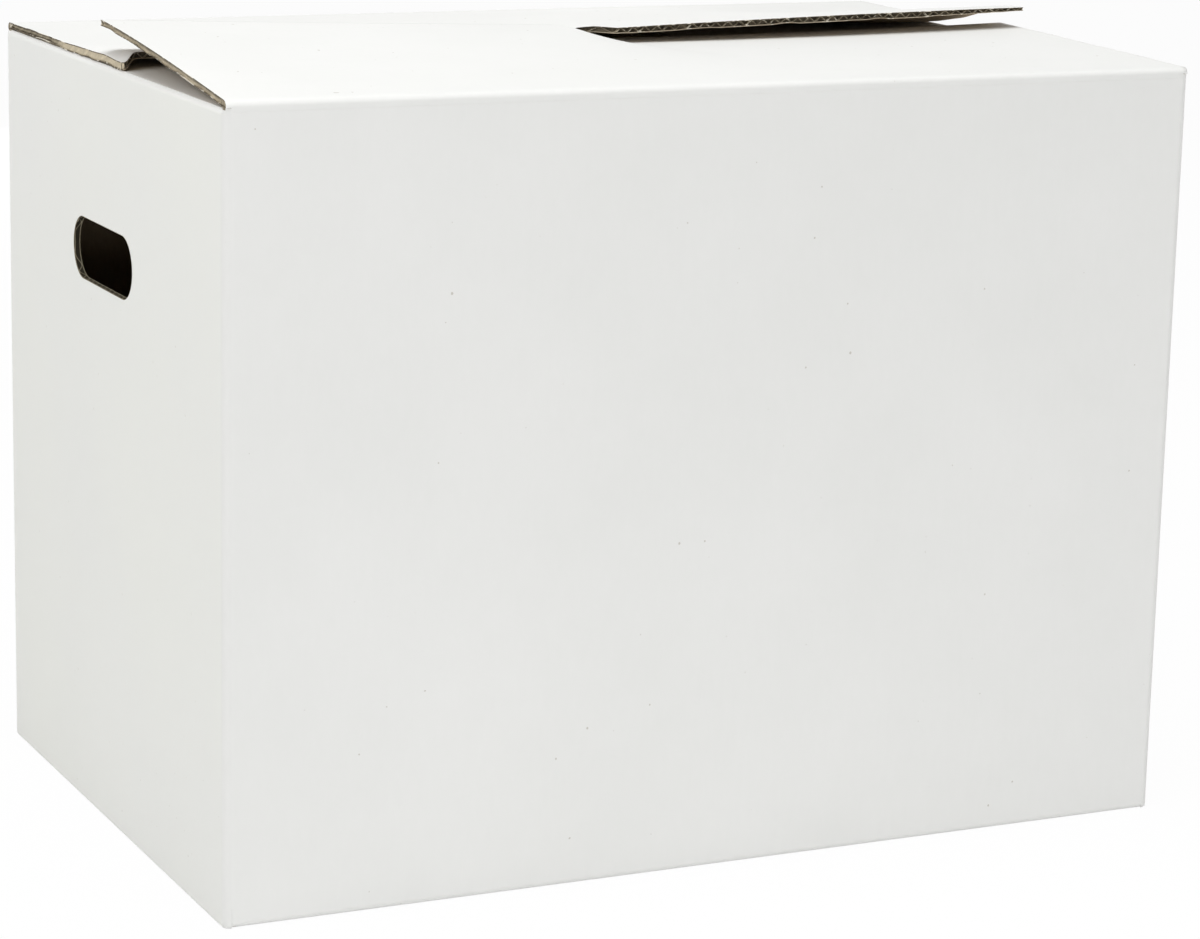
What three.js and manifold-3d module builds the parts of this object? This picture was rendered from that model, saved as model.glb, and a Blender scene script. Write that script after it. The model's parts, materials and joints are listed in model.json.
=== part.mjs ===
// Corrugated moving box, closed by two long top flaps that hook into each other.
// Millimetres, +Z up. The origin is the middle of the footprint, on the ground.
// +X runs along the long front panel, and the front faces -Y.

import * as THREE from 'three';
import { mergeVertices } from 'three/addons/utils/BufferGeometryUtils.js';
import Module from 'manifold-3d';

// Outside of the folded box, up to the fold of the long top flaps
const boxLength = 600;
const boxWidth = 399;
const foldHeight = 455.5;

// Corrugated board and how it folds
const boardThickness = 4;
const uprightFoldRadius = 5;
const panelFoldRadius = 3.5;
const innerCornerRadius = 1.5;
const restingGap = 0.3;
const slotWidth = 3;

// Flaps: how far each reaches from its fold
const topFlapDepth = 213;
const innerTopFlapDepth = 213;
const innerBottomFlapDepth = 199;
const bottomSeam = 1;
const flapEndSetback = 1.5;
const flapCornerRadius = 3;

// Notch in the middle of each long top flap, where the two hook together
const notchDepth = 31;
const notchMouthHalf = 15;
const notchRootHalf = 3;

// Hand hole in each end panel
const handHoleWidth = 110;
const handHoleHeight = 37;
const handHoleCentreHeight = 339.7;
const handHoleOffset = 9;

// Glued tab that closes the ring of panels, inside the rear right corner
const glueTabWidth = 35;
const glueTabSetback = 12;

// Rise of each long flap's free edge above the fold: beside the notch, at the end of the box,
// and the bow between the two. One half lies over the other flap, one half lies under it.
const frontFlapRise = {
  over: { notch: 10.4, end: 20.8, bow: -0.4 },
  under: { notch: 1.9, end: 4.4, bow: -1.2 },
  underCurl: 1,
};
const rearFlapRise = {
  over: { notch: 10.4, end: 16.3, bow: 1 },
  under: { notch: 1.6, end: 3, bow: -0.3 },
  underCurl: 6,
};
const overCurl = 1.25;

// The twist from the lower half to the upper half, either side of the notch
const twistHalfAtEdge = 6;
const twistSpread = 0.45;
const twistLean = 1 / 3;

// Fineness of the curved surfaces
const arcSteps = 6;
const flapColumns = 36;
const flapRows = 11;
const columnCrowding = 0.15;

const innerFoldLevel = foldHeight - boardThickness - restingGap;
const passThrough = 10;

const whiteBoard = { color: 0xe8e8e6, roughness: 0.78, metalness: 0 };

const wasm = await Module();
wasm.setup();

function toSolid(geometry) {
  const bare = geometry.clone();
  bare.deleteAttribute('normal');
  bare.deleteAttribute('uv');
  const merged = mergeVertices(bare, 1e-5);
  const mesh = new wasm.Mesh({
    numProp: 3,
    vertProperties: new Float32Array(merged.attributes.position.array),
    triVerts: new Uint32Array(merged.index.array),
  });
  return new wasm.Manifold(mesh);
}

function toGeometry(solid) {
  const mesh = solid.getMesh();
  const geometry = new THREE.BufferGeometry();
  geometry.setAttribute('position', new THREE.BufferAttribute(mesh.vertProperties, 3));
  geometry.setIndex(new THREE.BufferAttribute(mesh.triVerts, 1));
  geometry.computeVertexNormals();
  return geometry;
}

// A box between two corners
function block(low, high) {
  const size = high.map((value, axis) => value - low[axis]);
  const geometry = new THREE.BoxGeometry(...size);
  geometry.translate(...low.map((value, axis) => value + size[axis] / 2));
  return toSolid(geometry);
}

// A rectangle between two corners, with its own radius at the low and the high corners
function roundedRectangle(x0, y0, x1, y1, lowRadius, highRadius) {
  const shape = new THREE.Shape();
  const quarter = Math.PI / 2;
  shape.absarc(x1 - lowRadius, y0 + lowRadius, lowRadius, -quarter, 0);
  shape.absarc(x1 - highRadius, y1 - highRadius, highRadius, 0, quarter);
  shape.absarc(x0 + highRadius, y1 - highRadius, highRadius, quarter, 2 * quarter);
  shape.absarc(x0 + lowRadius, y0 + lowRadius, lowRadius, 2 * quarter, 3 * quarter);
  shape.closePath();
  return shape;
}

// A shape drawn in plan, raised from one height to another
function raised(shape, low, high) {
  const geometry = new THREE.ExtrudeGeometry(shape, {
    depth: high - low,
    bevelEnabled: false,
    curveSegments: arcSteps,
  });
  geometry.translate(0, 0, low);
  return toSolid(geometry);
}

// A shape drawn as seen from the front, run through the box from front to rear
function runFrontToRear(shape, span) {
  const geometry = new THREE.ExtrudeGeometry(shape, {
    depth: span,
    bevelEnabled: false,
    curveSegments: arcSteps,
  });
  geometry.rotateX(Math.PI / 2);
  geometry.translate(0, span / 2, 0);
  return toSolid(geometry);
}

// A shape drawn as seen from the right end, run through the box from end to end
function runEndToEnd(shape, span) {
  const geometry = new THREE.ExtrudeGeometry(shape, {
    depth: span,
    bevelEnabled: false,
    curveSegments: arcSteps * 2,
  });
  const turn = new THREE.Matrix4().makeBasis(
    new THREE.Vector3(0, 1, 0),
    new THREE.Vector3(0, 0, 1),
    new THREE.Vector3(1, 0, 0),
  );
  geometry.applyMatrix4(turn);
  geometry.translate(-span / 2, 0, 0);
  return toSolid(geometry);
}

// The outline of the box in plan, with its four upright folds
function footprint() {
  const halfLength = boxLength / 2;
  const halfWidth = boxWidth / 2;
  return roundedRectangle(
    -halfLength, -halfWidth, halfLength, halfWidth, uprightFoldRadius, uprightFoldRadius,
  );
}

// The four upright panels as one bent ring, with the folds to the end flaps rounded
function wallRing() {
  const halfLength = boxLength / 2;
  const inside = roundedRectangle(
    -halfLength + boardThickness, -boxWidth / 2 + boardThickness,
    halfLength - boardThickness, boxWidth / 2 - boardThickness,
    innerCornerRadius, innerCornerRadius,
  );
  const endFolds = roundedRectangle(
    -halfLength, boardThickness, halfLength, innerFoldLevel, panelFoldRadius, panelFoldRadius,
  );
  return raised(footprint(), boardThickness, innerFoldLevel)
    .subtract(raised(inside, 0, foldHeight))
    .intersect(runFrontToRear(endFolds, boxWidth + passThrough));
}

// Two long bottom flaps that meet along the middle, folded from the front and rear panels
function outerBottomFlaps() {
  const halfWidth = boxWidth / 2;
  const halfLength = boxLength / 2 - flapEndSetback;
  const panelFoot = boardThickness * 2;
  const trough = roundedRectangle(-halfWidth, 0, halfWidth, panelFoot, panelFoldRadius, 0);
  const hollow = block(
    [-boxLength, -halfWidth + boardThickness, boardThickness],
    [boxLength, halfWidth - boardThickness, panelFoot + passThrough],
  );
  const seam = block(
    [-boxLength, -bottomSeam / 2, -passThrough],
    [boxLength, bottomSeam / 2, boardThickness + passThrough],
  );
  return runEndToEnd(trough, 2 * halfLength)
    .subtract(hollow)
    .subtract(seam)
    .intersect(raised(footprint(), -passThrough, foldHeight));
}

// One end flap from an end panel to its tip; side is -1 at the left end and 1 at the right
function endFlap(side, depth, low) {
  const halfWidth = boxWidth / 2 - boardThickness - slotWidth / 2;
  const outer = boxLength / 2 - boardThickness / 2;
  const tip = boxLength / 2 - depth;
  const across = side < 0 ? [-outer, -tip] : [tip, outer];
  return block([across[0], -halfWidth, low], [across[1], halfWidth, low + boardThickness]);
}

// The tab on the right panel that is glued to the inside of the rear panel
function glueTab() {
  const inside = boxWidth / 2 - boardThickness;
  const corner = boxLength / 2 - boardThickness / 2;
  return block(
    [corner - glueTabWidth, inside - boardThickness, boardThickness * 2 + glueTabSetback],
    [corner, inside + boardThickness / 2, innerFoldLevel - boardThickness - glueTabSetback],
  );
}

// The hand holes are one opening with round ends, punched through both end panels
function handHoles() {
  const radius = handHoleHeight / 2;
  const outline = roundedRectangle(
    handHoleOffset - handHoleWidth / 2, handHoleCentreHeight - radius,
    handHoleOffset + handHoleWidth / 2, handHoleCentreHeight + radius,
    radius, radius,
  );
  return runEndToEnd(outline, boxLength + passThrough);
}

function cartonBody() {
  let body = wallRing().add(outerBottomFlaps()).add(glueTab());
  for (const side of [-1, 1]) {
    body = body.add(endFlap(side, innerBottomFlapDepth, boardThickness));
    body = body.add(endFlap(side, innerTopFlapDepth, innerFoldLevel - boardThickness));
  }
  return toGeometry(body.subtract(handHoles()));
}

function smoothStep(value) {
  const t = THREE.MathUtils.clamp(value, 0, 1);
  return t * t * (3 - 2 * t);
}

// Rise of the free edge at a share of the way from the notch to the end of the flap
function edgeRise(rise, share) {
  return THREE.MathUtils.lerp(rise.notch, rise.end, share) + rise.bow * 4 * share * (1 - share);
}

// Height of a flap's upper face above its fold. The half with x < 0 lies over the other flap.
function flapHeight(rise, x, reach) {
  const share = Math.min(Math.abs(x) / (boxLength / 2), 1);
  const along = Math.min(reach / topFlapDepth, 1);
  const over = edgeRise(rise.over, share) * (1 - (1 - along) ** overCurl);
  const under = edgeRise(rise.under, share) * along ** rise.underCurl;
  const half = twistHalfAtEdge + (topFlapDepth - reach) * twistSpread;
  const weight = smoothStep((-x + half * (1 + twistLean)) / (2 * half));
  return THREE.MathUtils.lerp(under, over, weight);
}

// A drop of the upper face that rounds the fold, where the reach is within the radius
function foldDrop(reach) {
  const inward = Math.max(panelFoldRadius - reach, 0);
  return panelFoldRadius - Math.sqrt(panelFoldRadius ** 2 - inward ** 2);
}

// Columns across the flap, close together at the notch
function columnPlaces(halfSpan) {
  const places = [];
  for (let i = 0; i <= flapColumns; i += 1) {
    const t = (2 * i) / flapColumns - 1;
    places.push(halfSpan * (columnCrowding * t + (1 - columnCrowding) * t ** 3));
  }
  return places;
}

// Rows from the fold to past the free edge, the first ones on the rounded fold
function rowPlaces(end) {
  const places = [];
  for (let i = 0; i < 3; i += 1) {
    places.push(panelFoldRadius * (1 - Math.cos((i * Math.PI) / 6)));
  }
  for (let i = 0; i <= flapRows; i += 1) {
    const t = i / flapRows;
    places.push(THREE.MathUtils.lerp(panelFoldRadius, end, 1 - (1 - t) ** 1.3));
  }
  return places;
}

// A curved sheet one board thick: two faces on one grid, joined round the rim
function curvedSheet(rise, halfSpan, end) {
  const columns = columnPlaces(halfSpan);
  const rows = rowPlaces(end);
  const points = [];
  for (const x of columns) {
    for (const reach of rows) {
      const top = flapHeight(rise, x, reach);
      points.push(x, reach, top - foldDrop(reach), x, reach, top - boardThickness);
    }
  }
  const upper = (i, j) => 2 * (i * rows.length + j);
  const lower = (i, j) => upper(i, j) + 1;
  const triangles = [];
  const quad = (a, b, c, d) => triangles.push(a, b, c, a, c, d);
  const lastColumn = columns.length - 1;
  const lastRow = rows.length - 1;
  for (let i = 0; i < lastColumn; i += 1) {
    for (let j = 0; j < lastRow; j += 1) {
      quad(upper(i, j), upper(i + 1, j), upper(i + 1, j + 1), upper(i, j + 1));
      quad(lower(i, j), lower(i, j + 1), lower(i + 1, j + 1), lower(i + 1, j));
    }
    quad(lower(i, 0), lower(i + 1, 0), upper(i + 1, 0), upper(i, 0));
    quad(upper(i, lastRow), upper(i + 1, lastRow), lower(i + 1, lastRow), lower(i, lastRow));
  }
  for (let j = 0; j < lastRow; j += 1) {
    quad(lower(0, j), upper(0, j), upper(0, j + 1), lower(0, j + 1));
    quad(lower(lastColumn, j), lower(lastColumn, j + 1), upper(lastColumn, j + 1), upper(lastColumn, j));
  }
  const geometry = new THREE.BufferGeometry();
  geometry.setAttribute('position', new THREE.Float32BufferAttribute(points, 3));
  geometry.setIndex(triangles);
  return toSolid(geometry);
}

// Outline of a long top flap in plan, with its fold on the X axis and the notch in its free edge
function flapOutline() {
  const half = boxLength / 2 - flapEndSetback;
  const root = topFlapDepth - notchDepth;
  const shape = new THREE.Shape();
  shape.moveTo(-half, -passThrough);
  shape.lineTo(half, -passThrough);
  shape.absarc(half - flapCornerRadius, topFlapDepth - flapCornerRadius, flapCornerRadius, 0, Math.PI / 2);
  shape.lineTo(notchMouthHalf, topFlapDepth);
  shape.lineTo(notchRootHalf, root + notchRootHalf);
  shape.absarc(0, root + notchRootHalf, notchRootHalf, 0, -Math.PI, true);
  shape.lineTo(-notchMouthHalf, topFlapDepth);
  shape.absarc(
    -half + flapCornerRadius, topFlapDepth - flapCornerRadius, flapCornerRadius, Math.PI / 2, Math.PI,
  );
  shape.closePath();
  return shape;
}

function topFlap(rise) {
  const sheet = curvedSheet(rise, boxLength / 2, topFlapDepth + 1);
  return toGeometry(sheet.intersect(raised(flapOutline(), -foldHeight, foldHeight)));
}

function named(name, geometry) {
  const mesh = new THREE.Mesh(geometry, new THREE.MeshStandardMaterial(whiteBoard));
  mesh.name = name;
  return mesh;
}

const box = new THREE.Group();

box.add(named('carton_body', cartonBody()));

const frontFlap = named('front_top_flap', topFlap(frontFlapRise));
frontFlap.position.set(0, -boxWidth / 2, foldHeight);
box.add(frontFlap);

const rearFlap = named('rear_top_flap', topFlap(rearFlapRise));
rearFlap.rotation.z = Math.PI;
rearFlap.position.set(0, boxWidth / 2, foldHeight);
box.add(rearFlap);

export default box;
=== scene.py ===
import json
import math

import bpy
import numpy as np
from mathutils import Matrix, Vector


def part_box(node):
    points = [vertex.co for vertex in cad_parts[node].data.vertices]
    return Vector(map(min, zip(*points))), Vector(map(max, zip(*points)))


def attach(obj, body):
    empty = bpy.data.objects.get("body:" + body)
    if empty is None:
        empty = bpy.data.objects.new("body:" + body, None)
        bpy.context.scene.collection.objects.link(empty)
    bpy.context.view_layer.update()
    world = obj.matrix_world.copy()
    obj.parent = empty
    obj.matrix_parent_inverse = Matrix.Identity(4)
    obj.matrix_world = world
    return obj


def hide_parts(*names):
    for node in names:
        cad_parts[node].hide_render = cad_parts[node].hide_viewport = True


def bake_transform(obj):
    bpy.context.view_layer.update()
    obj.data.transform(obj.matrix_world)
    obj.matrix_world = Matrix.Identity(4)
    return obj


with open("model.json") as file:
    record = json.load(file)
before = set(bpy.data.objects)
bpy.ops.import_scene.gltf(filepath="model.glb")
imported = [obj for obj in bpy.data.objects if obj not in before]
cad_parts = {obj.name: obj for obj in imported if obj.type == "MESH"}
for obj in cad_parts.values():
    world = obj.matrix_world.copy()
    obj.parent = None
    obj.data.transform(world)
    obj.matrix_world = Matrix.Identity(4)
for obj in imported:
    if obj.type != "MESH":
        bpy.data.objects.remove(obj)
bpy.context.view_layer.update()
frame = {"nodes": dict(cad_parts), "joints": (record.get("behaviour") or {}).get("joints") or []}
print("frame loaded:", sorted(frame["nodes"]))

mm = 0.001
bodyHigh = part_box("carton_body")[1]
joints = {joint["name"]: joint for joint in frame["joints"]}
foldPlace = Vector(joints["front_flap_fold"]["pos_m"])
halfLength = bodyHigh.x
halfWidth = -foldPlace.y
foldHeight = foldPlace.z
board = 4 * mm  # thickness of the corrugated board


# The camera stands where the photograph was taken: place in metres, angles in degrees
cameraSet = {
    "place": (-0.9493, -2.0342, 0.7034),
    "azimuth": 25.40,
    "elevation": 12.80,
    "roll": 1.29,
    "lens": 111.9,
    "sensor": 36,
}


def makeCamera(s):
    data = bpy.data.cameras.new("photoCamera")
    data.lens = s["lens"]
    data.sensor_width = s["sensor"]
    data.clip_end = 50
    camera = bpy.data.objects.new("photoCamera", data)
    bpy.context.scene.collection.objects.link(camera)
    azimuth, elevation, roll = (math.radians(s[key]) for key in ("azimuth", "elevation", "roll"))
    forward = Vector((
        math.sin(azimuth) * math.cos(elevation),
        math.cos(azimuth) * math.cos(elevation),
        -math.sin(elevation),
    ))
    level = forward.cross(Vector((0, 0, 1))).normalized()
    upright = level.cross(forward)
    right = level * math.cos(roll) + upright * math.sin(roll)
    up = right.cross(forward)
    turn = Matrix((right, up, -forward)).transposed().to_4x4()
    camera.matrix_world = Matrix.Translation(s["place"]) @ turn
    bpy.context.scene.camera = camera


makeCamera(cameraSet)
print("camera placed")


# Shader maths: a socket that takes Python operators
class Value:
    def __init__(self, tree, socket):
        self.tree = tree
        self.socket = socket

    def math(self, operation, other=None, swap=False):
        pair = [other, self] if swap else [self, other]
        inputs = {index: item for index, item in enumerate(pair) if item is not None}
        made = addNode(self.tree, "ShaderNodeMath", {"operation": operation}, inputs)
        return Value(self.tree, made.outputs[0])

    def __add__(self, other):
        return self.math("ADD", other)

    def __radd__(self, other):
        return self.math("ADD", other, True)

    def __sub__(self, other):
        return self.math("SUBTRACT", other)

    def __rsub__(self, other):
        return self.math("SUBTRACT", other, True)

    def __mul__(self, other):
        return self.math("MULTIPLY", other)

    def __rmul__(self, other):
        return self.math("MULTIPLY", other, True)

    def __truediv__(self, other):
        return self.math("DIVIDE", other)

    def __rtruediv__(self, other):
        return self.math("DIVIDE", other, True)

    def sine(self):
        return self.math("SINE")

    def size(self):
        return self.math("ABSOLUTE")

    def above(self, other):
        return self.math("GREATER_THAN", other)

    def clamped(self):
        made = self.math("ADD", 0)
        made.socket.node.use_clamp = True
        return made


# Any node: its type, its settings, and the values or links of its sockets by name or number
def addNode(tree, kind, settings=None, inputs=None):
    made = tree.nodes.new(kind)
    for key, value in (settings or {}).items():
        setattr(made, key, value)
    for key, value in (inputs or {}).items():
        link = value.socket if isinstance(value, Value) else value
        if isinstance(link, bpy.types.NodeSocket):
            tree.links.new(link, made.inputs[key])
        else:
            made.inputs[key].default_value = link
    return made


# A new material with its surface shader, and short ways to read place, noise and paint
class Finish:
    def __init__(self, name, roughness, specular=0.3):
        self.material = bpy.data.materials.new(name)
        self.material.use_nodes = True
        self.tree = self.material.node_tree
        self.shader = self.tree.nodes["Principled BSDF"]
        self.shader.inputs["Specular IOR Level"].default_value = specular
        self.shader.inputs["Roughness"].default_value = roughness
        self.place = addNode(self.tree, "ShaderNodeTexCoord").outputs["Object"]
        axes = addNode(self.tree, "ShaderNodeSeparateXYZ", None, {"Vector": self.place})
        self.x, self.y, self.z = (Value(self.tree, axes.outputs[axis]) for axis in "XYZ")

    def noise(self, scale, detail=2.0, roughness=0.5, stretch=None):
        place = self.place
        if stretch:
            place = addNode(
                self.tree, "ShaderNodeMapping", None, {"Vector": place, "Scale": stretch},
            ).outputs["Vector"]
        made = addNode(self.tree, "ShaderNodeTexNoise", None, {
            "Vector": place, "Scale": scale, "Detail": detail, "Roughness": roughness,
        })
        return Value(self.tree, made.outputs["Fac"])

    def mix(self, factor, first, second):
        first, second = (item if isinstance(item, Value) else (*item, 1) for item in (first, second))
        made = addNode(self.tree, "ShaderNodeMix", {"data_type": "RGBA"}, {0: factor, 6: first, 7: second})
        return Value(self.tree, made.outputs[2])

    def painted(self, name):
        made = addNode(self.tree, "ShaderNodeAttribute", {"attribute_name": name})
        return Value(self.tree, made.outputs["Fac"])

    def feed(self, name, value):
        self.tree.links.new(value.socket, self.shader.inputs[name])

    def bump(self, height, distance, strength=1.0):
        made = addNode(self.tree, "ShaderNodeBump", None, {
            "Height": height, "Distance": distance, "Strength": strength,
        })
        self.tree.links.new(made.outputs["Normal"], self.shader.inputs["Normal"])


linerLook = {
    "white": (0.80, 0.80, 0.785),
    "shade": (0.765, 0.768, 0.75),
    "speck": (0.42, 0.39, 0.33),
    "roughness": 0.62,
    "flutePitch": 8 * mm,
}


def linerFinish(s, name):
    f = Finish(name, s["roughness"], 0.25)
    cloud = f.noise(9, 4, 0.6)
    fibre = f.noise(900, 3, 0.65)
    grain = f.noise(240, 4, 0.6, (1, 1, 0.25))
    tone = ((cloud - 0.35) * 1.6 + (grain - 0.5) * 0.5).clamped()
    colour = f.mix(tone, s["shade"], s["white"])
    spot = f.noise(310, 0, 0.5)
    specks = ((spot - 0.856) * 40).clamped() * 0.6
    f.colour = f.mix(specks, colour, s["speck"])
    f.feed("Roughness", s["roughness"] + (fibre - 0.5) * 0.18)
    washboard = ((f.x + f.y) * (2 * math.pi / s["flutePitch"])).sine()
    height = fibre * 0.35 + grain * 0.25 + cloud * 2.5 + washboard * 0.12
    f.bump(height, 0.12 * mm, 0.55)
    return f


def whiteLiner(s):
    f = linerFinish(s, "whiteLiner")
    f.feed("Base Color", f.colour)
    return f.material


kraftLook = {
    "light": (0.47, 0.365, 0.24),
    "dark": (0.37, 0.28, 0.175),
    "roughness": 0.8,
}


# Brown paper inside the board: its colour, and the fibres for a bump
def kraftColour(f, s):
    fibre = f.noise(520, 4, 0.65, (1, 1, 0.3))
    cloud = f.noise(12, 3, 0.6)
    tone = ((fibre - 0.3) * 1.4 + (cloud - 0.5) * 1.2).clamped()
    return f.mix(tone, s["dark"], s["light"]), fibre


def kraftLiner(s):
    f = Finish("kraftLiner", s["roughness"], 0.2)
    colour, fibre = kraftColour(f, s)
    f.feed("Base Color", colour)
    f.bump(fibre, 0.1 * mm, 0.6)
    return f.material


# Paper cut across: frayed tan fibres, with pale crushed marks every few flutes
cutLooks = {
    # the upper edge is kept dark as painted shade, for the cut rim of the upper liner and the sides of the
    # lower liner
    "shadedUpperEdge": {"light": (0.27, 0.225, 0.165), "dark": (0.09, 0.074, 0.052)},
    "lowerEdge": {"light": (0.70, 0.62, 0.48), "dark": (0.36, 0.30, 0.215)},
    "flutedPaper": {"light": (0.62, 0.54, 0.41), "dark": (0.13, 0.105, 0.068)},
}
markLook = {
    "colour": (0.74, 0.69, 0.58),
    "spacing": 36 * mm,
    "flecks": 0.6,
    "roughness": 0.88,
}


def cutPaper(name, s, marks):
    f = Finish(name, marks["roughness"], 0.12)
    fray = f.noise(460, 4, 0.7)
    patch = f.noise(55, 3, 0.6)
    tone = ((fray - 0.32) * 1.4 + (patch - 0.5) * 1.1).clamped()
    colour = f.mix(tone, s["dark"], s["light"])
    drift = f.noise(16, 1, 0.5)
    along = (f.x * (2 * math.pi / marks["spacing"]) + drift * 9).sine()
    crushed = ((along - 0.965) * 50).clamped() * ((fray - 0.2) * 4).clamped()
    flecks = ((f.noise(330, 1, 0.5) - marks["flecks"]) * 14).clamped() * 0.8
    f.feed("Base Color", f.mix((crushed + flecks).clamped(), colour, marks["colour"]))
    f.bump(fray, 0.2 * mm, 0.8)
    return f.material


# the side paper's dark colour is painted shade, and its light colour is the paper
sidePaperLook = {
    "dark": (0.075, 0.062, 0.042),
    "light": (0.66, 0.575, 0.42),
    "roughness": 0.88,
}


# The torn flute wall along a flap's sides; its tone is painted on the points, and its dark end is painted
# shade
def shadedSidePaper(s):
    f = Finish("shadedSidePaper", s["roughness"], 0.12)
    fray = f.noise(430, 4, 0.7)
    tone = (f.painted("tone") + (fray - 0.5) * 0.5).clamped()
    f.feed("Base Color", f.mix(tone, s["dark"], s["light"]))
    f.bump(fray, 0.2 * mm, 0.8)
    return f.material


white = whiteLiner(linerLook)
shadedTornSide = shadedSidePaper(sidePaperLook)
kraft = kraftLiner(kraftLook)
shadedUpperEdge, lowerEdge, medium = (cutPaper(name, look, markLook) for name, look in cutLooks.items())
print("materials made")


def newObject(name, points, faces, materials):
    mesh = bpy.data.meshes.new(name)
    mesh.from_pydata(points.tolist(), [], faces.tolist())
    for material in materials:
        mesh.materials.append(material)
    mesh.polygons.foreach_set("use_smooth", np.full(len(faces), True))
    mesh.update()
    made = bpy.data.objects.new(name, mesh)
    bpy.context.scene.collection.objects.link(made)
    return made


# A closed sheet from two grids of points, (columns, rows, 3) each. The first faces out,
# the second lies under it, and the rim joins them. Faces get slot 0 (out), 1 (under) and
# 2 (rim); a fourth material goes on the rim's two sides across the columns.
def closedSheet(name, outer, under, materials):
    columns, rows = outer.shape[:2]
    points = np.concatenate([outer.reshape(-1, 3), under.reshape(-1, 3)])
    shift = columns * rows
    index = np.arange(shift).reshape(columns, rows)
    a, b, c, d = index[:-1, :-1], index[1:, :-1], index[1:, 1:], index[:-1, 1:]
    outFaces = np.stack([a, b, c, d], -1).reshape(-1, 4)
    underFaces = np.stack([a, d, c, b], -1).reshape(-1, 4) + shift
    around = np.concatenate([index[:, 0], index[-1, 1:], index[-2::-1, -1], index[0, -2:0:-1]])
    after = np.roll(around, -1)
    rim = np.stack([around, around + shift, after + shift, after], -1)
    made = newObject(name, points, np.concatenate([outFaces, underFaces, rim]), materials)
    sideSlot = len(materials) - 1
    slots = np.repeat(
        [0, 1, 2, sideSlot, 2, sideSlot],
        [len(outFaces), len(underFaces), columns - 1, rows - 1, columns - 1, rows - 1],
    )
    made.data.polygons.foreach_set("material_index", slots.astype(np.int32))
    made.data.update()
    return made


def paintPoints(made, name, values):
    layer = made.data.attributes.new(name, "FLOAT", "POINT")
    layer.data.foreach_set("value", values.astype(np.float32))


# Paints both layers of a closed sheet
def paintSheet(made, name, values):
    paintPoints(made, name, np.tile(values.ravel(), 2))


def smoothStep(value):
    t = np.clip(value, 0, 1)
    return t * t * (3 - 2 * t)


# 1 close by and 0 from far on, with a smooth step of the given span between
def near(distance, far, span):
    return smoothStep((far - distance) / span)


# Sum of a few sines with seeded phases: a smooth wander between about -1 and 1
def wander(value, length, seed, terms=4):
    chance = np.random.default_rng(seed)
    total = np.zeros_like(value)
    for term in range(terms):
        waveLength = length / (1 + term * 0.7 + chance.uniform(0, 0.4))
        total = total + np.sin(2 * math.pi * value / waveLength + chance.uniform(0, 6.28)) / (1 + term)
    return total / 1.8


# The long flaps. Their rise is that of the solids: over and under the other flap, in mm.
flapShape = {
    "reach": 213 * mm,
    "setback": 1.5 * mm,
    "notchDepth": 31 * mm,
    "notchMouth": 15 * mm,
    "notchRoot": 3 * mm,
    "foldRadius": 3.5 * mm,
    "overCurl": 1.25,
    "twistHalf": 6 * mm,
    "twistSpread": 0.45,
    "twistLean": 1 / 3,
    "linerThick": 0.45 * mm,
    "mediumThick": 0.3 * mm,
    "flutePitch": 8 * mm,
    "fluteStep": 0.8 * mm,
    "mouthDepth": 26 * mm,
    "mouthInset": 0.4 * mm,
    "restingRoom": 4.25 * mm,  # from the fold down to the end flaps, less a hair
    "sideSteps": 260,
    "skinThick": 0.4 * mm,
}

# Where the bends and dents of a flap lie. A pair is how far a bend reaches from the end, the
# tip or the edge, and the span over which it fades. Starts are measured from the fold.
flapBends = {
    "lateFrom": 0.42,
    "lateSpan": 0.56,
    "endFrom": 0.3,
    "endSpan": 0.6,
    "liftAlong": (80 * mm, 60 * mm),
    "liftReach": (83 * mm, 70 * mm),
    "bentCorner": (9 * mm, 7.5 * mm),
    "tip": (30 * mm, 28 * mm),
    "rim": (12 * mm, 10 * mm),
    "wavySide": (30 * mm, 28 * mm),
    "waveLength": 90 * mm,
    "edgePress": (7 * mm, 7 * mm),
    "sidePress": (5 * mm, 5 * mm),
    "burstSide": (9 * mm, 6 * mm),
    "burstFrom": 86 * mm,
    "burstSpan": 50 * mm,
    "pinchAlong": (85 * mm, 80 * mm),
    "pinchReach": (95 * mm, 95 * mm),
    "pullAlong": (16 * mm, 14 * mm),
    "pullReach": (45 * mm, 42 * mm),
}

frontRise = {
    "over": (10.4 * mm, 20.67 * mm, -0.4 * mm),
    "under": (1.9 * mm, 4.4 * mm, -1.2 * mm),
    "underCurl": 1,
    "seed": 11,
    "lateCurl": 0,
    "pinch": 0.12,
    "dogEar": 0,
    "pull": 0,
    "swell": 0.35 * mm,
    "lift": 0,
    "wave": 0.25 * mm,
    "bared": 0.3,
}
rearRise = {
    "over": (10.4 * mm, 16.7 * mm, 1 * mm),
    "under": (1.6 * mm, 3 * mm, -0.3 * mm),
    "underCurl": 6,
    "seed": 29,
    "lateCurl": 1,
    "pinch": 0.36,
    "dogEar": 2.1 * mm,
    "pull": 14 * mm,
    "swell": 1.5 * mm,
    "lift": 2 * mm,
    "wave": 0.55 * mm,
    "bared": 1,
}


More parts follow.
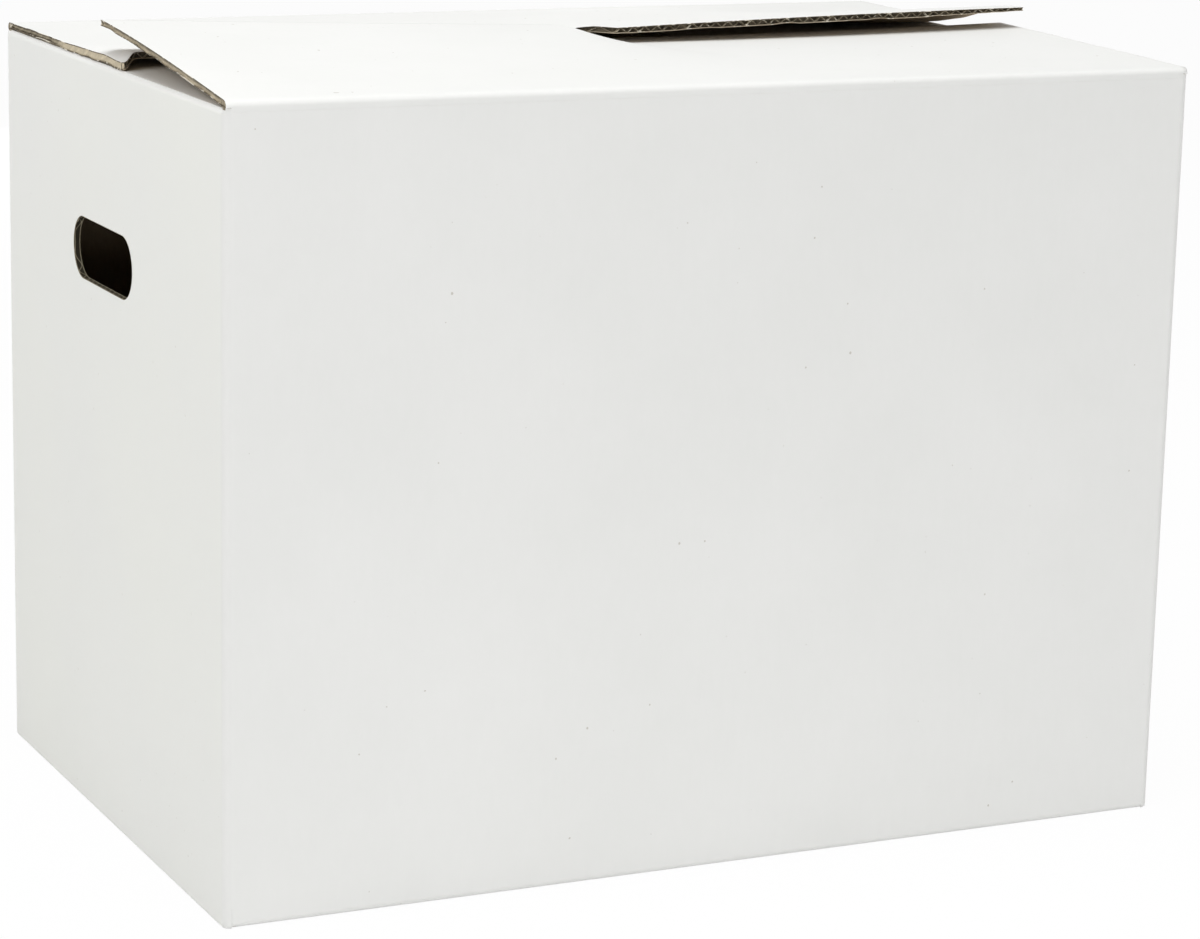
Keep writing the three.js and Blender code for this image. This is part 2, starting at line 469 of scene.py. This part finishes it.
# Height of the upper face over the fold, with x < 0 on the half that lies over.
# Each half rises as a power of the reach, and the rear flap's over half lies flat first
# near its end. A smooth step round the notch joins the halves.
def flapHeight(s, rise, x, reach):
    bends = flapBends
    share = np.clip(np.abs(x) / halfLength, 0, 1)
    along = np.clip(reach / s["reach"], 0, 1)

    def edgeRise(values):
        atNotch, atEnd, bow = values
        return atNotch + (atEnd - atNotch) * share + bow * 4 * share * (1 - share)

    early = 1 - (1 - along) ** s["overCurl"]
    late = smoothStep((along - bends["lateFrom"]) / bends["lateSpan"])
    toEnd = rise["lateCurl"] * smoothStep((share - bends["endFrom"]) / bends["endSpan"])
    over = edgeRise(rise["over"]) * (early + (late - early) * toEnd)
    under = edgeRise(rise["under"]) * along ** rise["underCurl"]
    half = s["twistHalf"] + (s["reach"] - reach) * s["twistSpread"]
    weight = smoothStep((-x + half * (1 + s["twistLean"])) / (2 * half))
    height = under + (over - under) * weight
    # a lifted end with a bent corner on the lower half, and a small wave along its side
    toSide = halfLength - x
    toTip = s["reach"] - reach
    nearTip = near(toTip, *bends["tip"])
    lifted = near(toSide, *bends["liftAlong"]) * near(toTip, *bends["liftReach"])
    height = height + rise["lift"] * lifted * (1 - near(toSide, *bends["rim"]))
    height = height - rise["dogEar"] * near(toSide, *bends["bentCorner"]) * nearTip
    ripple = 0.5 + 0.5 * wander(reach, bends["waveLength"], rise["seed"])
    fromFold = smoothStep(reach / (40 * mm))
    return height + rise["wave"] * near(toSide, *bends["wavySide"]) * ripple * fromFold * (1 - nearTip)


# How much of its thickness the board keeps: pressed a little at the free edge and at the
# sides, and swollen along the side of the lower half where the fluting has burst
def pressed(s, rise, x, reach, edgeReach):
    bends = flapBends
    toEdge = near(edgeReach - reach, *bends["edgePress"])
    toSide = near(halfLength - s["setback"] - np.abs(x), *bends["sidePress"])
    dents = np.clip(wander(x, 60 * mm, rise["seed"] + 3, 6), 0, 1)
    sideDents = np.clip(0.45 + 0.55 * wander(reach, 50 * mm, rise["seed"] + 5), 0, 1)
    burst = smoothStep((reach - bends["burstFrom"]) / bends["burstSpan"])
    burst = burst * near(halfLength - x, *bends["burstSide"])
    lumps = np.clip(0.6 + 0.4 * wander(reach, 34 * mm, rise["seed"] + 8), 0.1, 1)
    pinch = near(halfLength + x, *bends["pinchAlong"]) * near(edgeReach - reach, *bends["pinchReach"])
    atEdge = toEdge * (0.04 + 0.2 * dents)
    atSide = toSide * 0.2 * sideDents * (1 - toEdge) * (1 - burst)
    return (1 - atEdge - atSide) * (1 - rise["pinch"] * pinch) + rise["swell"] / board * burst * lumps


def freeEdge(s, x):
    depth = np.clip((s["notchMouth"] - np.abs(x)) / (s["notchMouth"] - s["notchRoot"]), 0, 1)
    return s["reach"] - s["notchDepth"] * depth


# One layer of a flap at a depth below its upper face, put in its place on the box
def flapLayer(s, rise, side, x, reach, depth):
    edgeReach = freeEdge(s, x)
    drop = np.clip(s["foldRadius"] - reach, 0, s["foldRadius"])
    rounding = s["foldRadius"] - np.sqrt(s["foldRadius"] ** 2 - drop ** 2)
    height = flapHeight(s, rise, x, reach)
    # no thicker than the room over the end flaps, so that a swollen side rests on them
    keep = np.minimum(pressed(s, rise, x, reach, edgeReach), (height + s["restingRoom"]) / board)
    z = height - depth * keep - rounding * (1 - depth / board)
    pull = rise["pull"] * near(halfLength - x, *flapBends["pullAlong"])
    pull = pull * near(s["reach"] - reach, *flapBends["pullReach"])
    return np.stack([-side * x, side * (halfWidth - reach - pull), foldHeight + z], -1)


def flapColumns(s):
    end = halfLength - s["setback"]
    near = np.arange(-s["notchMouth"] * 2, s["notchMouth"] * 2 + mm / 10, 1 * mm)
    tail = near[-1] + (end - near[-1]) * np.linspace(0, 1, 95)[1:]
    last = end - np.array([2.5, 1.2, 0.5]) * mm
    tail = np.sort(np.concatenate([tail, last]))
    return np.concatenate([-tail[::-1], near, tail])


# The two liners, with rows crowded towards the fold and towards the free edge
def makeLiners(s, layer, name):
    x = flapColumns(s)[:, None]
    share = np.concatenate([[0, 0.004, 0.009, 0.0165], 1 - (1 - np.linspace(0.03, 1, 44)) ** 1.2])
    reach = share[None, :] * freeEdge(s, x)
    x = np.broadcast_to(x, reach.shape)
    thick = s["linerThick"]
    layers = (
        # the upper liner's whole cut rim and the lower liner's sides take the dark painted shade of the
        # upper edge
        ("upperLiner", 0, [white, medium, shadedUpperEdge, shadedUpperEdge]),
        ("lowerLiner", board - thick, [medium, kraft, lowerEdge, shadedUpperEdge]),
    )
    return [
        closedSheet(f"{name}_{part}", layer(x, reach, top), layer(x, reach, top + thick), materials)
        for part, top, materials in layers
    ]


def fluteColumns(s):
    end = halfLength - s["setback"]
    return np.arange(-end, end + s["fluteStep"] / 2, s["fluteStep"])[:, None]


# Depths through the board from liner to liner
def innerDepths(s):
    return np.linspace(s["linerThick"] * 0.6, board - s["linerThick"] * 0.6, 9)[None, :]


# The fluted sheet, which shows at the free edge and in the notch
def makeFluteMouths(s, layer, name):
    x = fluteColumns(s)
    inward = np.linspace(1, 0, 7)[None, :] ** 1.3
    reach = freeEdge(s, x) - s["mouthInset"] - s["mouthDepth"] * inward
    x = np.broadcast_to(x, reach.shape)
    half = s["mediumThick"] / 2
    room = board / 2 - s["linerThick"] - half
    middle = board / 2 + room * 0.98 * np.sin(2 * math.pi * x / s["flutePitch"])
    upper = layer(x, reach, middle - half)
    lower = layer(x, reach, middle + half)
    return closedSheet(f"{name}_fluteMouths", upper, lower, [medium, medium, medium])


# Crushed paper a little way inside the mouths, so that they aren't bottomless; its nearly black tone is
# painted shade in the flute hollows
def makeShadedCrushedPaper(s, rise, layer, name):
    x = fluteColumns(s)
    depth = innerDepths(s)
    inset = 3.2 * mm + 1.2 * mm * wander(x, 30 * mm, rise["seed"] + 31, 6)
    across = np.broadcast_to(x, (x.size, depth.size))
    through = np.broadcast_to(depth, across.shape)
    reach = np.broadcast_to(freeEdge(s, x) - inset, across.shape)
    skin = layer(across, reach, through)
    back = layer(across, reach - s["skinThick"], through)
    plug = closedSheet(f"{name}_shadedCrushedPaper", skin, back, [shadedTornSide, shadedTornSide, shadedTornSide])
    # nearly black tone: painted shade deep in the flutes
    tone = np.clip(0.04 + 0.12 * wander(x + 0 * depth, 21 * mm, rise["seed"] + 33, 6), 0, 1)
    paintSheet(plug, "tone", tone)
    return plug


# The torn flute wall along a side, set back by a wandering amount, with its tone painted on: painted shade
# in bands along the liners, lighter bared paper and random streaks.
# sign is -1 on the half that lies over and 1 on the lower half, where the paper is bared.
def makeTornSide(s, rise, layer, sign, name):
    reach = np.linspace(1.5 * mm, s["reach"] - 0.15 * mm, s["sideSteps"])[:, None]
    depth = innerDepths(s)
    bared = rise["bared"] * (sign > 0)
    bareFrom = flapBends["burstFrom"] - 2 * mm
    tear = 0.5 + 0.5 * wander(reach, 46 * mm, rise["seed"] + 15, 6)
    tear = tear * smoothStep((s["reach"] - reach) / (9 * mm))
    slit = 0.9 * mm * tear * (1 - bared * smoothStep((reach - bareFrom) / (50 * mm)))
    bulge = np.sin(math.pi * depth / board) * 0.35 * mm
    across = sign * (halfLength - s["setback"] - 0.12 * mm - slit - bulge)
    along = np.broadcast_to(reach, across.shape)
    through = np.broadcast_to(depth, across.shape)
    facing = slice(None, None, -sign)
    skin = layer(across, along, through)[facing]
    back = layer(across - sign * s["skinThick"], along, through)[facing]
    torn = closedSheet(name, skin, back, [shadedTornSide, shadedTornSide, shadedTornSide])
    share = depth / board
    # painted shade: darker towards the upper liner on the half that lies over, and dark bands along both
    # liners on the lower half
    if sign < 0:
        plain = 0.2 + 0.5 * smoothStep((share - 0.35) / 0.3)
    else:
        plain = 0.04 + 0.46 * np.exp(-((share - 0.5) / 0.14) ** 2)
    # where the paper is bared it is lighter, with painted shade still darker at the bottom and at the top
    bare = 0.85 - 0.5 * smoothStep((share - 0.78) / 0.1) - 0.25 * smoothStep((0.16 - share) / 0.1)
    burst = bared * smoothStep((reach - bareFrom) / (34 * mm))
    streaks = 0.12 * wander(reach + share * 9 * mm, 17 * mm, rise["seed"] + 21, 6)
    paintSheet(torn, "tone", np.clip(plain + (bare - plain) * burst + streaks, 0, 1)[facing])
    return torn


# side is -1 for the front flap and 1 for the rear flap
def makeFlap(s, rise, side, name, body, node):
    def layer(across, along, depth):
        return flapLayer(s, rise, side, across, along, depth)

    pieces = makeLiners(s, layer, name)
    pieces.append(makeFluteMouths(s, layer, name))
    pieces.append(makeShadedCrushedPaper(s, rise, layer, name))
    pieces.append(makeTornSide(s, rise, layer, -1, f"{name}_overSide"))
    pieces.append(makeTornSide(s, rise, layer, 1, f"{name}_underSide"))
    for piece in pieces:
        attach(piece, body)
    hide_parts(node)


makeFlap(flapShape, frontRise, -1, "frontFlap", "front_flap", "front_top_flap")
makeFlap(flapShape, rearRise, 1, "rearFlap", "rear_flap", "rear_top_flap")
print("flaps made")


# The crease between a long panel and its flap: a closed section carried along the box.
# It wraps the outside of the fold and the inside of the board, and bends with the flap.
# Both ends of the section dip into the board, so that no step shows.
creaseShape = {
    "down": 7 * mm,
    "along": 7 * mm,
    "radius": 3.5 * mm,
    "corner": 5 * mm,
    "proud": 0.03 * mm,
    "dip": 0.5 * mm,
    "ease": 0.8 * mm,
    "crowding": 0.6,
    "arcSteps": 12,
    "columns": 150,
}


def makeCrease(s, rise, side, name):
    t = np.linspace(0, math.pi / 2, s["arcSteps"])
    r = s["radius"]
    proud = s["proud"]
    arc = np.stack([r - (r + proud) * np.cos(t), (r + proud) * np.sin(t) - r], -1)
    ease = s["ease"]
    wallDrop = np.array([-s["down"], -s["down"] + ease, -s["down"] + 2 * ease, -r - 0.6 * mm])
    wallDip = np.array([s["dip"], -proud * 0.2, -proud * 0.8, -proud])
    wall = np.stack([wallDip, wallDrop], -1)
    roofReach = np.array([r + 0.6 * mm, s["along"] - 2 * ease, s["along"] - ease, s["along"]])
    roof = np.stack([roofReach, -wallDip[::-1]], -1)
    outer = np.concatenate([wall, arc, roof])
    up = np.stack([np.full(10, board), np.linspace(-s["down"], -board, 10)], -1)
    over = np.stack([np.linspace(board, s["along"], 11)[1:], np.full(10, -board)], -1)
    inside = np.concatenate([up, over])
    end = halfLength - flapShape["setback"]
    spread = np.linspace(-1, 1, s["columns"])
    crowding = s["crowding"]
    crowded = np.sin(spread * math.pi / 2 * crowding) / math.sin(math.pi / 2 * crowding)
    x = end * ((1 - crowding) * spread + crowding * crowded)

    def carried(section):
        reach = np.broadcast_to(section[:, 0], (len(x), len(section)))
        drop = np.broadcast_to(section[:, 1], (len(x), len(section)))
        across = np.broadcast_to(x[:, None], reach.shape)
        past = np.clip(np.abs(across) - halfLength + s["corner"], 0, s["corner"])
        rounding = s["corner"] - np.sqrt(s["corner"] ** 2 - past ** 2)
        tucked = reach + rounding * smoothStep((-drop - 1.5 * mm) / (4 * mm))
        lift = flapHeight(flapShape, rise, across, np.maximum(reach, 0))
        lift = lift * smoothStep((reach - 0.3 * mm) / (s["along"] - 0.3 * mm))
        return np.stack([-side * across, side * (halfWidth - tucked), foldHeight + drop + lift], -1)

    samples = np.linspace(0, 1, len(outer))
    path = np.linspace(0, 1, len(inside))
    matched = np.stack([np.interp(samples, path, inside[:, axis]) for axis in (0, 1)], -1)
    piece = closedSheet(f"{name}_crease", carried(outer), carried(matched), [white, kraft, medium])
    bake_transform(piece)


makeCrease(creaseShape, frontRise, -1, "front")
makeCrease(creaseShape, rearRise, 1, "rear")
print("creases made")


# The body keeps its solid. Its material is white board outside, brown paper inside and
# cut paper at the tips of the end flaps, with painted shade on the rounded upright corners.
bodyLook = {
    "corner": 5 * mm,
    # cornerShade is painted shade for the rounded upright corners
    "cornerShade": (0.71, 0.71, 0.695),
    "endShade": (0.79, 0.795, 0.755),
    "tip": (0.30, 0.245, 0.165),
    "wallInset": 3.4 * mm,
    "lowInside": 3.2 * mm,
    "tipLow": 447.35 * mm,
    "tipHigh": 451.0 * mm,
}


def within(value, low, high):
    return value.above(low) * (1 - value.above(high))


def bodyBoard(s):
    f = linerFinish(linerLook, "bodyBoard")
    across = 1 - f.x.size().above(halfLength - s["wallInset"])
    along = 1 - f.y.size().above(halfWidth - s["wallInset"])
    inside = across * along * within(f.z, s["lowInside"], s["tipLow"])
    tips = across * along * within(f.z, s["tipLow"], s["tipHigh"])
    brown = kraftColour(f, kraftLook)[0]
    toEnd = ((f.x.size() - (halfLength - s["corner"])) / s["corner"]).clamped()
    toSide = ((f.y.size() - (halfWidth - s["corner"])) / s["corner"]).clamped()
    onEnd = f.x.size().above(halfLength - 0.3 * mm) * (f.noise(5, 2, 0.5) * 1.6 - 0.1).clamped()
    outside = f.mix(onEnd, f.colour, s["endShade"])
    # painted shade on the rounded upright corners
    outside = f.mix((toEnd * toSide * 1.9).clamped(), outside, s["cornerShade"])
    colour = f.mix(inside, outside, brown)
    f.feed("Base Color", f.mix(tips, colour, s["tip"]))
    return f.material


bodyNode = frame["nodes"]["carton_body"]
bodyNode.data.materials.clear()
bodyMaterial = bodyBoard(bodyLook)
bodyNode.data.materials.append(bodyMaterial)


# The lowest fold of each end panel: a thin skin that runs down to the floor, round both corners
skirtShape = {
    "height": 14 * mm,
    "radius": 5 * mm,
    "foot": 1.3 * mm,
    "thick": 0.25 * mm,
    "proud": 0.02 * mm,
    "footRise": 2.6 * mm,
    "fadeSpan": 3 * mm,
    "fadeDepth": 0.2 * mm,
    "floorGap": 0.05 * mm,
    "columns": 90,
    "rows": 26,
    "cornerSteps": 12,
}


def makeSkirt(s, side, name):
    radius = s["radius"]
    turn = np.linspace(0, math.pi / 2, s["cornerSteps"])
    cornerX = halfLength - radius + radius * np.sin(turn)
    cornerY = halfWidth - radius + radius * np.cos(turn)
    middle = np.linspace(halfWidth - radius, radius - halfWidth, s["columns"])[1:-1]
    planX = np.concatenate([cornerX, np.full(middle.size, halfLength), cornerX[::-1]])
    planY = np.concatenate([cornerY, middle, -cornerY[::-1]])
    outX = np.concatenate([np.sin(turn), np.ones(middle.size), np.sin(turn)[::-1]])
    outY = np.concatenate([np.cos(turn), np.zeros(middle.size), -np.cos(turn)[::-1]])
    z = np.linspace(s["floorGap"], s["height"], s["rows"])
    foot = np.clip(1 - z / s["footRise"], 0, 1)
    fade = near(s["height"] - z, s["fadeSpan"], s["fadeSpan"]) * s["fadeDepth"]
    away = s["proud"] - s["foot"] * (1 - np.sqrt(1 - foot ** 2)) - fade

    def wall(inset):
        shift = (away - inset)[None, :]
        x = side * (planX[:, None] + outX[:, None] * shift)
        return np.stack([x, planY[:, None] + outY[:, None] * shift, np.broadcast_to(z, x.shape)], -1)

    order = slice(None, None, -1) if side > 0 else slice(None)
    piece = closedSheet(name, wall(0)[order], wall(s["thick"])[order], [bodyMaterial] * 3)
    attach(piece, "box")


makeSkirt(skirtShape, -1, "leftFoot")
makeSkirt(skirtShape, 1, "rightFoot")


# The cut rim of a hand hole: liner, fluting, liner across the board, carried round a stadium.
# The fluting shows as a sine along the box, with painted shade, nearly black, in the hollows beside it.
holeShape = {
    "width": 110 * mm,
    "height": 37 * mm,
    "centre": (9 * mm, 339.7 * mm),
    "liner": 0.5 * mm,
    "paper": 0.32 * mm,
    "flutePitch": 8 * mm,
    "waveInset": 0.2 * mm,
    "soft": 0.15 * mm,
    "linerSoft": 0.12 * mm,
    "backInset": 0.3 * mm,
    "backDepth": 0.6 * mm,
    "step": 0.5 * mm,
    "acrossSteps": 27,
    "nick": (-0.62, 1.1 * mm, 2.2 * mm),
}
rimLook = {
    # the hollow colour is painted shade in the hollows of the flutes
    "hollowShade": (0.035, 0.03, 0.02),
    "light": (0.47, 0.42, 0.30),
    "dark": (0.22, 0.19, 0.13),
    "roughness": 0.9,
}


def rimPaper(s):
    f = Finish("rimPaper", s["roughness"], 0.12)
    fray = f.noise(500, 4, 0.7)
    colour = f.mix(((fray - 0.3) * 1.6).clamped(), s["dark"], s["light"])
    # nearly black painted shade where there is no paper, in the hollows of the flutes
    f.feed("Base Color", f.mix(f.painted("paper"), s["hollowShade"], colour))
    f.bump(fray, 0.2 * mm, 0.7)
    return f.material


rimMaterial = rimPaper(rimLook)


def makeHoleRim(s, side, name):
    radius = s["height"] / 2
    straight = s["width"] - s["height"]
    total = 2 * straight + 2 * math.pi * radius
    count = int(total / s["step"])
    place = np.arange(count) / count * total
    # round the stadium: top edge, front arc, bottom edge, rear arc
    edges = np.cumsum([straight, math.pi * radius, straight, math.pi * radius])
    leg = np.searchsorted(edges, place, side="right")
    local = place - np.concatenate([[0], edges[:-1]])[leg]
    turn = local / radius
    y = np.select(
        [leg == 0, leg == 1, leg == 2],
        [straight / 2 - local, -straight / 2 - radius * np.sin(turn), -straight / 2 + local],
        straight / 2 + radius * np.sin(turn),
    )
    z = np.select(
        [leg == 0, leg == 1, leg == 2],
        [np.full(count, radius), radius * np.cos(turn), np.full(count, -radius)],
        -radius * np.cos(turn),
    )
    inY = np.select([leg == 1, leg == 3], [np.sin(turn), -np.sin(turn)], 0.0)
    inZ = np.select([leg == 0, leg == 1, leg == 2], [-1.0, -np.cos(turn), 1.0], np.cos(turn))
    depth = np.linspace(0, board + 0.04 * mm, s["acrossSteps"])[None, :]
    swing = board / 2 - s["liner"] - s["waveInset"]
    wave = board / 2 + swing * np.sin(2 * math.pi * y[:, None] / s["flutePitch"])
    onMedium = 1 - smoothStep((np.abs(depth - wave) - s["paper"] / 2) / s["soft"])
    onLiner = np.maximum(
        1 - smoothStep((depth - s["liner"]) / s["linerSoft"]),
        smoothStep((depth - board + s["liner"]) / s["linerSoft"]),
    )
    paper = np.maximum(onMedium, onLiner)
    uneven = 0.5 + 0.5 * wander(place, 40 * mm, 5, 6)[:, None]
    into = (0.03 + (0.1 + 0.14 * uneven) * paper) * mm
    where, size, width = s["nick"]
    nickPlace = total + where * radius
    away = np.abs((place - nickPlace + total / 2) % total - total / 2)[:, None]
    into = into + size * np.exp(-(away / width) ** 2) * (depth < s["liner"] * 1.2)
    centreY, centreZ = s["centre"]

    def ring(inset, through):
        x = side * (halfLength - through) + 0 * inset
        return np.stack([
            x,
            centreY + y[:, None] + inY[:, None] * inset,
            centreZ + z[:, None] + inZ[:, None] * inset,
        ], -1)

    front = ring(into, np.broadcast_to(depth, into.shape))
    backDepth = np.array([board - s["backInset"], s["backInset"]])[None, :]
    back = ring(np.full((count, 2), -s["backDepth"]), np.broadcast_to(backDepth, (count, 2)))
    points = np.concatenate([front, back], 1)
    rows = points.shape[1]
    index = np.arange(count * rows).reshape(count, rows)
    around = np.roll(index, -1, 0)
    faces = np.stack([index, around, np.roll(around, -1, 1), np.roll(index, -1, 1)], -1).reshape(-1, 4)
    if side < 0:
        faces = faces[:, ::-1]
    rim = newObject(name, points.reshape(-1, 3), faces, [rimMaterial])
    paintPoints(rim, "paper", np.concatenate([paper, np.zeros((count, 2))], 1).ravel())
    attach(rim, "box")


makeHoleRim(holeShape, -1, "leftHoleRim")
makeHoleRim(holeShape, 1, "rightHoleRim")
print("body dressed")


# Floor and light. Lamp places and sizes are in metres, powers in watts.
stageLook = {
    "floorSize": 14,
    "floorColour": (0.86, 0.86, 0.86, 1),
    "whiteShare": 0.96,
    "worldStrength": 0.3,
    "aim": (0, 0, 0.22),
}
lamps = {
    "topLamp": {"place": (-0.2, -0.4, 3.2), "size": (2.4, 2.4), "power": 67},
    "frontLamp": {"place": (-0.2, -2.9, 0.32), "size": (2.6, 0.6), "power": 21},
    "leftLamp": {"place": (-2.5, -0.5, 1.9), "size": (2.2, 1.8), "power": 31.5},
    "rightLamp": {"place": (3, 0, 0.26), "size": (2.2, 0.4), "power": 15},
    "rearLamp": {"place": (0.3, 3, 0.26), "size": (2.4, 0.4), "power": 24},
}


# 1 for the rays that show the background: the camera's, and those of metal and glass
def backgroundRays(tree):
    paths = addNode(tree, "ShaderNodeLightPath")
    seen = Value(tree, paths.outputs["Is Camera Ray"])
    for ray in ("Is Glossy Ray", "Is Transmission Ray"):
        seen = (seen + Value(tree, paths.outputs[ray])).clamped()
    return seen


def makeFloor(s):
    half = s["floorSize"] / 2
    corners = np.array([(-half, -half, 0), (half, -half, 0), (half, half, 0), (-half, half, 0)])
    material = bpy.data.materials.new("paleFloor")
    material.use_nodes = True
    tree = material.node_tree
    tree.nodes.clear()
    share = backgroundRays(tree) * s["whiteShare"]
    plain = addNode(tree, "ShaderNodeBsdfDiffuse", None, {"Color": s["floorColour"]})
    glow = addNode(tree, "ShaderNodeEmission", None, {"Color": (1, 1, 1, 1), "Strength": 1.0})
    mixed = addNode(tree, "ShaderNodeMixShader", None, {0: share, 1: plain.outputs[0], 2: glow.outputs[0]})
    addNode(tree, "ShaderNodeOutputMaterial", None, {"Surface": mixed.outputs[0]})
    newObject("floor", corners, np.array([(0, 1, 2, 3)]), [material])


def makeWorld(s):
    world = bpy.data.worlds.new("studio")
    bpy.context.scene.world = world
    world.use_nodes = True
    tree = world.node_tree
    background = tree.nodes["Background"]
    strength = backgroundRays(tree) * (1 - s["worldStrength"]) + s["worldStrength"]
    tree.links.new(strength.socket, background.inputs["Strength"])
    background.inputs["Color"].default_value = (1, 1, 1, 1)


def makeLamp(name, s, aim):
    data = bpy.data.lights.new(name, "AREA")
    data.shape = "RECTANGLE"
    data.size, data.size_y = s["size"]
    data.energy = s["power"]
    lamp = bpy.data.objects.new(name, data)
    bpy.context.scene.collection.objects.link(lamp)
    direction = Vector(aim) - Vector(s["place"])
    turn = direction.to_track_quat("-Z", "Y").to_matrix().to_4x4()
    lamp.matrix_world = Matrix.Translation(s["place"]) @ turn


makeFloor(stageLook)
makeWorld(stageLook)
for lampName, lampSet in lamps.items():
    makeLamp(lampName, lampSet, stageLook["aim"])
bpy.context.scene.view_settings.view_transform = "Standard"
print("stage set")
